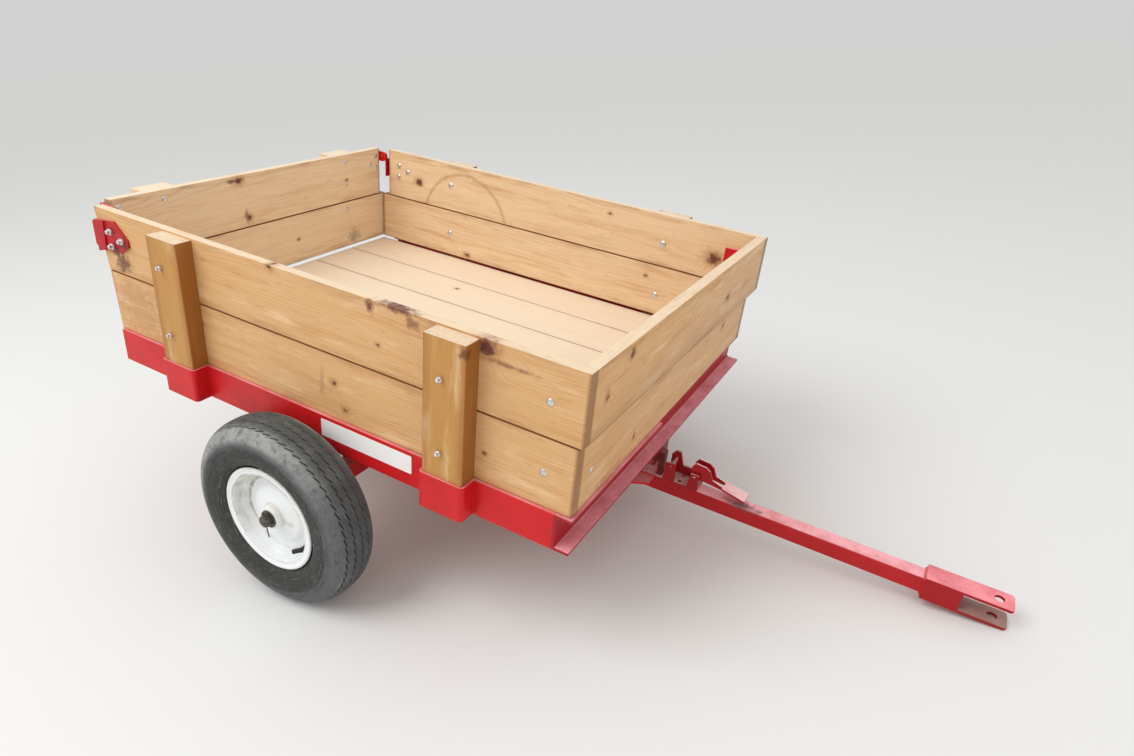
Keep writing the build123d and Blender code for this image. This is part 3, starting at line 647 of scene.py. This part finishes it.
board_marks = {
    "side_plank_right_upper": [
        ((54, -476, 168), (34, 20, 28), "6b4030", 0.9),
        ((36, -476, 190), (24, 20, 18), "5a3222", 0.85),
        ((755, -476, 265), (12, 20, 19), DARK, 0.9),
        ((1003, -476, 270), (26, 20, 17), PURPLE, 0.85),
        ((815, -470, 280), (52, 30, 11), DARK, 0.9),
        ((852, -476, 262), (20, 20, 15), DARK, 0.7),
        ((1052, -476, 246), (56, 20, 6), "7a4426", 0.7)],
    "side_plank_right_lower": [((628, -476, 70), (9, 20, 34), "a87a50", 0.55),
                               ((90, -476, 70), (120, 20, 90), "a36a34", 0.4)],
    "tailgate_plank_upper": [((-32, -100, 268), (20, 34, 7), PURPLE, 0.8),
                             ((-32, -70, 172), (20, 10, 22), PURPLE, 0.6)],
    "tailgate_plank_lower": [((-32, 322, 26), (20, 34, 26), "8f8478", 0.65)],
    "side_plank_left_upper": [((120, 457, 200), (16, 20, 13), PURPLE, 0.75),
                              ((1086, 457, 197), (25, 20, 19), "6b3226", 0.75),
                              ((292, 457.2, 104), (150, 16, 152), "a9703a", 0.38, 0.05)],
    "front_plank_lower": [((1192, -330, 12), (20, 90, 12), "9c4a34", 0.4),
                          ((1192, -228, 44), (20, 4, 18), "5a3826", 0.7)],
    "front_plank_upper": [((1192, -322, 262), (20, 9, 16), "5a3826", 0.85),
                          ((1192, -408, 214), (20, 12, 22), "a5663c", 0.5)],
    "stake_right_front": [((990, -514, 262), (17, 14, 16), "6f3f1c", 0.9)],
}
wood_nodes = [row["node"] for row in frame["record"]["subparts"]
              if row["material_slot"] in ("honey_wood", "floor_wood")]
for seed, name in enumerate(sorted(wood_nodes), start=3):
    tones = HONEY
    stained = 1.0
    ring = PLANK_RING
    pith = (0.35 + 0.14 * (seed % 5), 70.0 + 17.0 * (seed % 4))
    # The far side, the tailgate and the floor take lighter tones painted as lit, and less stain
    if "left" in name:
        tones = PALE_PAINTED_LIT
        stained = 0.8
    if name.startswith("tailgate"):
        tones = GATE_PAINTED_LIT
        stained = 0.6
    if name.startswith("floor"):
        tones = FLOOR_PAINTED_LIT
        stained = 0.45
    if name.startswith("stake"):
        tones = STAKE
        ring = STAKE_RING
        pith = (2.2, 150.0)
    knots = board_knots.get(name, ())
    marks = board_marks.get(name, ())
    dress(name, softwood(name, seed, tones, ring, pith, stained, knots, marks))

# The steel: how red enamel looks in each place, and the nodes that don't look as the frame does
CLEVIS_HOLE_X = 1905.0
ear_marks = [((CLEVIS_HOLE_X, 0, z), (17, 17, 8), "6e5352", 0.7) for z in (-160, -190)]
red_looks = {
    "frame": {},
    "pedal": {"base": "b0171d", "dust": 1.4, "dust_colour": "ffd2d4", "grime": 0.15},
    "bracket": {"base": "a5161c", "dust": 1.0, "dust_colour": "cfa39f", "grime": 0.5},
    # The channel's darker red is dirt together with painted shade on its web under the top flange
    "channel": {"base": "a81b23", "dust": 0.95, "dust_colour": "f2a6ac", "grime": 0.4},
    # A near black line along the far side's foot is painted shade in that crease
    "left_strap_painted_shade": {"marks": [((586, 448, -2), (1800, 26, 16), "2c1c16", 0.95)]},
    # Dark marks just below the hinge plate's nuts are dirt together with painted shade of the nuts
    "right_hinge_painted_shade": {"base": "b81c22", "dust": 0.4, "grime": 0.6, "marks": [
        ((70, -484, 214), (26, 12, 12), "5f2628", 0.8),
        ((40, -484, 200), (30, 12, 9), "5c2426", 0.8)]},
    # The dark mark on the tongue's top beneath the pedal's foot plate is grease with the foot plate's painted
    # shadow
    "tongue": {"base": "bb1b20", "dust": 1.2, "dust_colour": "ffb6bc", "marks": [
        ((1310, 0, -170), (95, 30, 8), "b3a29c", 0.75),
        ((1395, -8, -177), (48, 16, 9), "5f4a48", 0.8)]},
    "sleeve": {"base": "a8161b", "dust": 1.1, "dust_colour": "fb98a0"},
    # The striker's dark maroon red is painted shade, where it hangs under the bed
    "striker": {"base": "651f1e", "dust": 0.3, "grime": 0.6, "marks": [
        ((1172, 3, -152), (30, 12, 16), "a59c9c", 0.75)]},
    "upper_ear": {"base": "a8161b", "dust": 1.1, "dust_colour": "fb98a0", "marks": ear_marks},
    # The lower ear is a darker copy of the upper ear's red, painted as the shade beneath the upper ear
    "lower_ear_painted_shade": {"base": "9a1f20", "dust": 1.1, "dust_colour": "a98f83", "grime": 0.6,
                  "marks": ear_marks},
}
red_of_node = {
    "bed_striker": "striker", "tongue_tube": "tongue", "clevis_ear_lower": "lower_ear_painted_shade",
    "clevis_ear_upper": "upper_ear", "hitch_sleeve": "sleeve", "hinge_plate_right": "right_hinge_painted_shade",
    "latch_bracket": "bracket", "latch_pedal": "pedal", "front_channel": "channel",
    "side_strap_left": "left_strap_painted_shade",
}
reds = {name: red_enamel(name, **look) for name, look in red_looks.items()}
bare_steel = dull_steel("turned_steel_axle", "6b675f", "3b332b", 0.8, (0.4, 0.65))
zinc = dull_steel("zinc_plated_bolt", "dfe0e4", "9a958c", 0.5, (0.2, 0.4))
pin_steel = dull_steel("drawn_wire_pin", "6f675c", "4c3626", 0.8, (0.4, 0.6))
for row in frame["record"]["subparts"]:
    if row["material_slot"] == "red_paint":
        dress(row["node"], reds[red_of_node.get(row["node"], "frame")])
    if row["material_slot"] == "bare_steel":
        dress(row["node"], bare_steel)

# Sawn and bent edges are eased a little: the slot and the width in metres. The clevis is left
# sharp, so that its three pieces stay closed where they meet.
EASED = {"honey_wood": 0.0018, "floor_wood": 0.0012, "red_paint": 0.0009, "bare_steel": 0.0005}
LEFT_SHARP = ("hitch_sleeve", "clevis_ear_upper", "clevis_ear_lower")
for row in frame["record"]["subparts"]:
    width = EASED.get(row["material_slot"])
    if width and row["node"] not in LEFT_SHARP:
        node = frame["nodes"][row["node"]]
        merged = node.modifiers.new("merge", "WELD")
        merged.merge_threshold = 1e-5
        eased = node.modifiers.new("ease", "BEVEL")
        eased.width = width
        eased.segments = 2
        eased.limit_method = "ANGLE"
        eased.angle_limit = radians(40)

# Wheels. The tread's lines are places across it, and the rings' and the ridge's are distances
# from the tread's middle along the section.
TYRE_RADIUS = 209.0
WALL_RADIUS = 154.0
BEAD_DROP = 44.0
HALF_WIDTH = 56.8
SECTION_POWER = 0.8
SECTION_ANGLE = radians(143)
TREAD_STEPS = 64
TREAD_LINES = (-36.0, -18.0, 0.0, 18.0, 36.0)
GROOVE_DEPTH = 3.0
GROOVE_EDGE = 0.7
DASH_CREEP = 2.4
DASH_HALF = 0.42
GAP_SHARE = 0.4
WALL_RINGS = (50.0, 58.0)
RING_DEPTH = 0.6
WALL_RIDGE = 76.0
RIDGE_HEIGHT = 1.1
RIDGE_WIDTH = 1.4


def tyre_shape(side):
    """A pneumatic tyre. Its section is two superellipses on the widest radius, one up to the
    tread and one down to the bead, divided by s, the distance round it, and finely at its lines.
    The tread sinks where |s - line - creep| is under a groove's half width: five rows of dashes
    that creep sideways and step back once a pitch, with shallower gaps between them. The wall has
    thin rings and one raised ridge, each a bell curve in s. Returns the shape and the groove
    depth."""
    phi = np.linspace(-1, 1, 3001) * SECTION_ANGLE
    across = HALF_WIDTH * np.sign(np.sin(phi)) * np.abs(np.sin(phi)) ** SECTION_POWER
    up = np.sign(np.cos(phi)) * np.abs(np.cos(phi)) ** SECTION_POWER
    radius = WALL_RADIUS + np.where(up > 0, TYRE_RADIUS - WALL_RADIUS, BEAD_DROP) * up
    run = np.concatenate(([0], np.cumsum(np.hypot(np.diff(across), np.diff(radius)))))
    half_run = run[-1] / 2
    fine = np.add.outer(TREAD_LINES, np.arange(-4.2, 4.3, 0.7)).ravel()
    wall_lines = np.outer((-1, 1), (*WALL_RINGS, WALL_RIDGE))
    rings = np.add.outer(wall_lines, np.arange(-3.0, 3.1, 1.0)).ravel()
    s = np.linspace(-1, 1, 61) * half_run
    s = np.unique(np.round(np.concatenate((s, fine, rings)), 3)).clip(-half_run, half_run)
    across = np.interp(s, run - half_run, across)
    radius = np.interp(s, run - half_run, radius)
    way_out = np.stack((np.gradient(across, s), -np.gradient(radius, s)))
    way_out /= np.linalg.norm(way_out, axis=0)
    t = np.arange(TREAD_STEPS * 8) / 8.0
    depth = np.zeros((len(t), len(s)))
    for line in TREAD_LINES:
        saw = ((t + line / TREAD_LINES[-1]) % 1.0)[:, None]
        creep = DASH_CREEP * (2 * saw - 1)
        groove = 1 - np.clip((np.abs(s[None] - line - creep) - GROOVE_EDGE) / GROOVE_EDGE, 0, 1)
        dash = np.where(np.abs(saw - 0.5) < DASH_HALF, 1.0, GAP_SHARE)
        depth = np.maximum(depth, groove * dash)
    sunk = sum(RING_DEPTH * np.exp(-(np.abs(s) - line) ** 2) for line in WALL_RINGS)
    sunk = sunk - RIDGE_HEIGHT * np.exp(-((np.abs(s) - WALL_RIDGE) / RIDGE_WIDTH) ** 2)
    inward = GROOVE_DEPTH * depth + sunk[None]
    angle = (t * 2 * pi / TREAD_STEPS)[:, None]
    from_middle = radius[None] - inward * way_out[0][None]
    out = across[None] - inward * way_out[1][None]
    points = np.stack((from_middle * np.cos(angle), side * out, from_middle * np.sin(angle)), -1)
    shape = grid(points + np.array(wheel_place(side)), close_rows=True)
    return shape, depth.ravel().astype(np.float32)


def wheel_shape(side):
    """A pressed wheel turned about the axle: outline of (outboard distance, radius), its corners
    eased, with curled lips, bead seats, drop centre, dished disc and hub tube."""
    lip = [(44.0, 108.0), (46.5, 111.5), (46.0, 117.0), (41.0, 117.0), (41.0, 113.5), (43.0, 113.0)]
    rim = lip + [(42.6, 101.4), (25.0, 101.4), (17.0, 88.0)]
    outline = rim + [(-a, r) for a, r in rim[::-1]]
    outline += [(-43.6, 98.8), (-23.0, 98.6), (-15.0, 85.0), (10.0, 85.0), (18.0, 63.0),
                (22.0, 41.0), (-11.0, 28.0), (-41.0, 22.0), (-41.0, 13.0), (41.0, 13.0),
                (41.0, 23.5), (36.0, 24.0), (35.5, 26.5), (27.0, 27.5), (25.0, 40.0), (21.0, 61.0),
                (14.5, 70.0), (14.0, 84.0), (23.5, 98.6), (43.6, 98.8)]
    shape = turned(softened(outline, 2.6, 5).tolist(), 128, closed=True)
    return aimed(shape, wheel_place(side), (0, side, 0))


for name, side in SIDES:
    shape, depth = tyre_shape(side)
    tyre = piece(f"tyre_tread_{name}", [shape], tyre_rubber(name, side), f"wheel_{name}",
                 sharp=50, values=depth)
    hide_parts(f"tyre_{name}")
    wheel = piece(f"pressed_wheel_{name}", [wheel_shape(side)], cream_enamel(name, side),
                  f"wheel_{name}", sharp=45)
    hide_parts(f"wheel_disc_{name}")

# Bolts. Setbacks are from a stake's rear face, and heights from the side planks' underside
STAKE_BOLTS = (("rear", 35.0, (216.0, 67.0)), ("front", 39.0, (202.0, 54.0)))
CORNER_BOLT_X = 1131.0
CORNER_BOLT_HEIGHTS = (208.0, 70.0)
CORNER_ANGLE_THICK = 5.0
FRONT_BOLT_Y = -415.0
FRONT_BOLT_HEIGHT = 68.0
FRONT_BOLT_SUNK = 1.5
HINGE_BOLTS = ((39.0, 238.0), (73.0, 224.0), (38.0, 205.0))
HINGE_STRAP_THICK = 3.5
BATTEN_BOLT_HEIGHTS = {"right": (259.5, 184.0, 117.0, 36.0), "left": (259.5, 193.0, 117.0, 36.0)}
# Millimetres in from a gate bracket's outer edge, and height
BRACKET_BOLTS = ((27.0, 260.0), (50.0, 236.0), (23.0, 223.0))


def nut(across_flats, height, bolt, proud):
    """A hex nut with chamfered ends on a bolt's end, which stands proud of it by that much."""
    flat = across_flats / 2
    end = height + proud
    return turned([(0, 0), (0, flat * 0.98, 0.4), (0.8, flat, 1), (height - 0.9, flat, 1),
                   (height, flat * 0.96, 0.3), (height, bolt / 2), (end - 0.8, bolt / 2),
                   (end, bolt / 2 - 0.8), (end, 0)])


def domed_head(radius, height):
    """A carriage bolt's head: a cap whose height falls as the square of the distance out."""
    share = np.array([1.0, 0.97, 0.88, 0.7, 0.45, 0.2, 0.0])
    cap = [(0.6 + (height - 0.6) * (1 - q * q), radius * q) for q in share]
    return turned([(0, 0), (0, radius)] + cap)


STAKE_NUT = nut(11.0, 5.5, 6.4, 6.0)
CORNER_NUT = nut(11.0, 5.0, 6.4, 3.0)
HINGE_NUT = nut(14.3, 6.5, 9.0, 6.0)
BATTEN_NUT = nut(11.0, 2.8, 6.4, 0.9)
BRACKET_NUT = nut(12.7, 6.0, 8.0, 4.0)
STAKE_HEAD = domed_head(9.5, 3.8)
HEAD = domed_head(8.0, 3.2)
SMALL_HEAD = domed_head(7.0, 3.2)


def bed_bolt(x, z, nut_y, nut_end, head_y, head):
    """A bolt along Y: its nut end and its head, each on its own face and pointing apart."""
    way = np.sign(nut_y - head_y)
    return [aimed(nut_end, (x, nut_y, z), (0, way, 0)), aimed(head, (x, head_y, z), (0, -way, 0))]


def gate_bolt(rear, y, z, nut_end):
    """A bolt along X through the tailgate: its head in front, and its nut end at the rear."""
    front = end_of("tailgate_plank_upper", "x", 1)
    return [aimed(HEAD, (front, y, z), (1, 0, 0)), aimed(nut_end, (rear, y, z), (-1, 0, 0))]


bed_bolts = []
gate_bolts = []
for name, side in SIDES:
    inside = end_of(f"side_plank_{name}_lower", "y", -side)
    for end, setback, heights in STAKE_BOLTS:
        x = end_of(f"stake_{name}_{end}", "x", -1) + setback
        outside = end_of(f"stake_{name}_{end}", "y", side)
        for z in heights:
            bed_bolts += bed_bolt(x, z, outside, STAKE_NUT, inside, STAKE_HEAD)
    outside = end_of(f"side_plank_{name}_upper", "y", side)
    leg_face = inside - side * CORNER_ANGLE_THICK
    for z in CORNER_BOLT_HEIGHTS:
        bed_bolts += bed_bolt(CORNER_BOLT_X, z, leg_face, CORNER_NUT, outside, SMALL_HEAD)
    strap_face = end_of(f"hinge_plate_{name}", "y", side) - side * HINGE_STRAP_THICK
    for x, z in HINGE_BOLTS:
        bed_bolts += bed_bolt(x, z, strap_face, HINGE_NUT, inside, HEAD)
    batten = f"tailgate_batten_{name}"
    y = (end_of(batten, "y", 1) + end_of(batten, "y", -1)) / 2
    for z in BATTEN_BOLT_HEIGHTS[name]:
        gate_bolts += gate_bolt(end_of(batten, "x", -1), y, z, BATTEN_NUT)
    bracket = f"gate_bracket_{name}"
    for inset, z in BRACKET_BOLTS:
        y = end_of(bracket, "y", side) - side * inset
        gate_bolts += gate_bolt(end_of(bracket, "x", -1), y, z, BRACKET_NUT)
x = end_of("front_plank_lower", "x", 1) - FRONT_BOLT_SUNK
bed_bolts.append(aimed(SMALL_HEAD, (x, FRONT_BOLT_Y, FRONT_BOLT_HEIGHT), (1, 0, 0)))
piece("bed_bolts", bed_bolts, zinc, "bed", sharp=30)
piece("gate_bolts", gate_bolts, zinc, "tailgate", sharp=30)

# The axle's cotter pins. Heights are above the axle's middle
PIN_SETBACK = 6.0
PIN_RADIUS = 1.3
PIN_EYE_RADIUS = 4.0
PIN_EYE_HEIGHT = 18.0
PIN_LEG_TOP = 15.0
PIN_LEGS = ((-1, 33.0), (1, 53.0))


def cotter_pin(y):
    """A split pin down through the axle's end: an eye, an arc of 252 degrees, and two legs that
    part as the cube of the way down, one longer than the other."""
    t = np.linspace(0, 1, 9)
    bars = []
    for lean, length in PIN_LEGS:
        x = AXLE_X + lean * (0.9 + 5.0 * t ** 3)
        z = AXLE_Z + PIN_LEG_TOP - length * t
        bars.append(bar(np.stack((x, y + 0 * t, z), -1), PIN_RADIUS))
    turn = np.linspace(-0.2 * pi, 1.2 * pi, 15)
    x = AXLE_X + PIN_EYE_RADIUS * np.cos(turn)
    z = AXLE_Z + PIN_EYE_HEIGHT + PIN_EYE_RADIUS * np.sin(turn)
    return bars + [bar(np.stack((x, y + 0 * turn, z), -1), PIN_RADIUS)]


for name, side in SIDES:
    pin_y = end_of("axle_shaft", "y", side) - side * PIN_SETBACK
    piece(f"cotter_pin_{name}", cotter_pin(pin_y), pin_steel, "chassis")

# The wheels' valves: moulded rubber, near black and matt, whose 3 and 4 mm blotches are coarser
# than the real ones, which are too fine to show
rubber_black = matt_material("moulded_black_rubber", "1c1c1b", "4a4844", 4.0, (0.4, 0.8), 0.8,
                             3.0, (0.55, 0.75))
VALVE_ANGLE = radians(-35)
VALVE_RADIUS = 94.5
VALVE_OUT = 20.0
VALVE_ROWS = ((-4, 0), (-4, 7.0), (-1, 9.4), (2, 9.6), (5, 8.6), (8, 6.6), (11, 5.4), (18, 5.0),
              (19, 4.4), (19, 5.0), (28, 5.0), (30, 3.6), (30, 0))
for name, side in SIDES:
    way_out = np.array([cos(VALVE_ANGLE), 0, sin(VALVE_ANGLE)])
    foot = np.array(wheel_place(side)) + way_out * VALVE_RADIUS + (0, side * VALVE_OUT, 0)
    lean = np.array([0, side * 1.0, -0.22]) - way_out * 0.62
    piece(f"valve_{name}", [aimed(turned(VALVE_ROWS, 20), foot, lean)], rubber_black,
          f"wheel_{name}")

# The blank plate on the right strap: printed vinyl left blank, flat white with a satin sheen and
# a little soil
STRAP_FACE_Y = -483.2
PLATE_CORNERS = ((626.0, -8.0), (854.0, -8.0), (854.0, -48.0), (626.0, -48.0))
PLATE_CORNER_RADIUS = 2.5
PLATE_SUNK = 0.1
PLATE_PROUD = 0.5


def plate_shape():
    """A flat plate: its outline drawn four times, at nothing, whole, whole and at nothing, the
    first two at its back and the others at its face."""
    outline = softened(PLATE_CORNERS, PLATE_CORNER_RADIUS, 4)
    middle = outline.mean(0)
    rings = []
    for share, y in ((0, PLATE_SUNK), (1, PLATE_SUNK), (1, -PLATE_PROUD), (0, -PLATE_PROUD)):
        x, z = (middle + (outline - middle) * share).T
        rings.append(np.stack((x, np.full(len(x), STRAP_FACE_Y + y), z), -1))
    return grid(np.array(rings))


label = matt_material("white_vinyl", "f6f3f1", "d8cfca", 22.0, (0.5, 0.8), 0.4, 30.0, (0.3, 0.45))
piece("blank_plate", [plate_shape()], label, "bed")

# Weld beads where the red steel is joined: round the tongue where it enters the sleeve, along the
# latch bracket's foot and the braces' front ends, and where the striker hangs from the channel
BRACE_WELD = 60.0
BRACKET_WELD_INSET = 4.0
STRIKER_LUG = 12.0
STRIKER_HALF = 38.0
CHANNEL_FOOT_Z = -77.2
tube_low, tube_high = reach("tongue_tube")
half = (tube_high[1] - tube_low[1]) / 2
top = (tube_high[2] + tube_low[2]) / 2 + half
foot = top - 2 * half
x = end_of("hitch_sleeve", "x", -1)
beads = [weld((x, -half, z), (x, half, z), 3.0) for z in (top, foot)]
beads += [weld((x, y, foot), (x, y, top), 3.0) for y in (-half, half)]
start = end_of("latch_bracket", "x", -1) + BRACKET_WELD_INSET
end = end_of("latch_bracket", "x", 1) - BRACKET_WELD_INSET
for name, side in SIDES:
    y = side * half
    beads.append(weld((start, y, top), (end, y, top), 2.2))
    front = end_of(f"tongue_brace_{name}", "x", 1)
    z = end_of(f"tongue_brace_{name}", "z", 1)
    beads.append(weld((front - BRACE_WELD, y, z), (front, y, z), 2.6))
piece("chassis_welds", beads, reds["frame"], "chassis", sharp=80)
x = end_of("bed_striker", "x", 1) - STRIKER_LUG
bead = weld((x, -STRIKER_HALF, CHANNEL_FOOT_Z), (x, STRIKER_HALF, CHANNEL_FOOT_Z), 2.6)
piece("bed_welds", [bead], reds["frame"], "bed", sharp=80)

# Floor, light and camera
FLOOR_HALF = 60
floor_mesh = bpy.data.meshes.new("floor")
corners = [(x * FLOOR_HALF, y * FLOOR_HALF, 0) for x, y in ((-1, -1), (1, -1), (1, 1), (-1, 1))]
floor_mesh.from_pydata(corners, [], [(0, 1, 2, 3)])
floor = bpy.data.objects.new("floor", floor_mesh)
bpy.context.scene.collection.objects.link(floor)
pale = bpy.data.materials.new("pale_floor")
pale.use_nodes = True
pale.node_tree.nodes["Principled BSDF"].inputs["Base Color"].default_value = linear("e8e8e6")
pale.node_tree.nodes["Principled BSDF"].inputs["Roughness"].default_value = 0.9
floor_mesh.materials.append(pale)

# The world lights the object at one strength and shows at another, close to the floor's own tone
WORLD_LIGHT = 0.8
BACKDROP = 0.642
world = bpy.data.worlds.new("studio")
bpy.context.scene.world = world
world.use_nodes = True
tree = world.node_tree
ray = add(tree, "LightPath").node.outputs
shown = ray["Is Camera Ray"]
for other in ("Is Glossy Ray", "Is Transmission Ray"):
    shown = add(tree, "Math", {0: shown, 1: ray[other]}, operation="MAXIMUM")
strength = add(tree, "MapRange", {0: shown, 3: WORLD_LIGHT, 4: BACKDROP})
tree.links.new(strength, tree.nodes["Background"].inputs["Strength"])
tree.nodes["Background"].inputs["Color"].default_value = (1.0, 1.0, 1.0, 1.0)

# Each lamp's name, place, width in metres and watts. Both point at the middle of the trailer
LAMP_AIM_HEIGHT = 0.35
lamps = (("key", (-1.6, -2.6, 4.2), 3.4, 105.0), ("fill", (3.4, -1.2, 2.6), 2.6, 9.0))
for name, spot, size, watts in lamps:
    data = bpy.data.lights.new(name, "AREA")
    data.shape = "DISK"
    data.size = size
    data.energy = watts
    lamp = bpy.data.objects.new(name, data)
    lamp.location = spot
    aim = -np.array(spot) + (0, 0, LAMP_AIM_HEIGHT)
    lamp.rotation_euler = (atan2(np.hypot(aim[0], aim[1]), -aim[2]), 0, atan2(-aim[0], aim[1]))
    bpy.context.scene.collection.objects.link(lamp)

# The camera's place, turn and lens were fitted to the box's edges in the photograph
view = bpy.data.cameras.new("camera")
view.sensor_width = 36.0
view.lens = 24.10
camera = bpy.data.objects.new("camera", view)
camera.location = (0.8179, -1.4174, 1.0723)
camera.rotation_euler = (radians(65.928), radians(1.766), radians(28.886))
bpy.context.scene.collection.objects.link(camera)
bpy.context.scene.camera = camera
bpy.context.scene.view_settings.view_transform = "Standard"
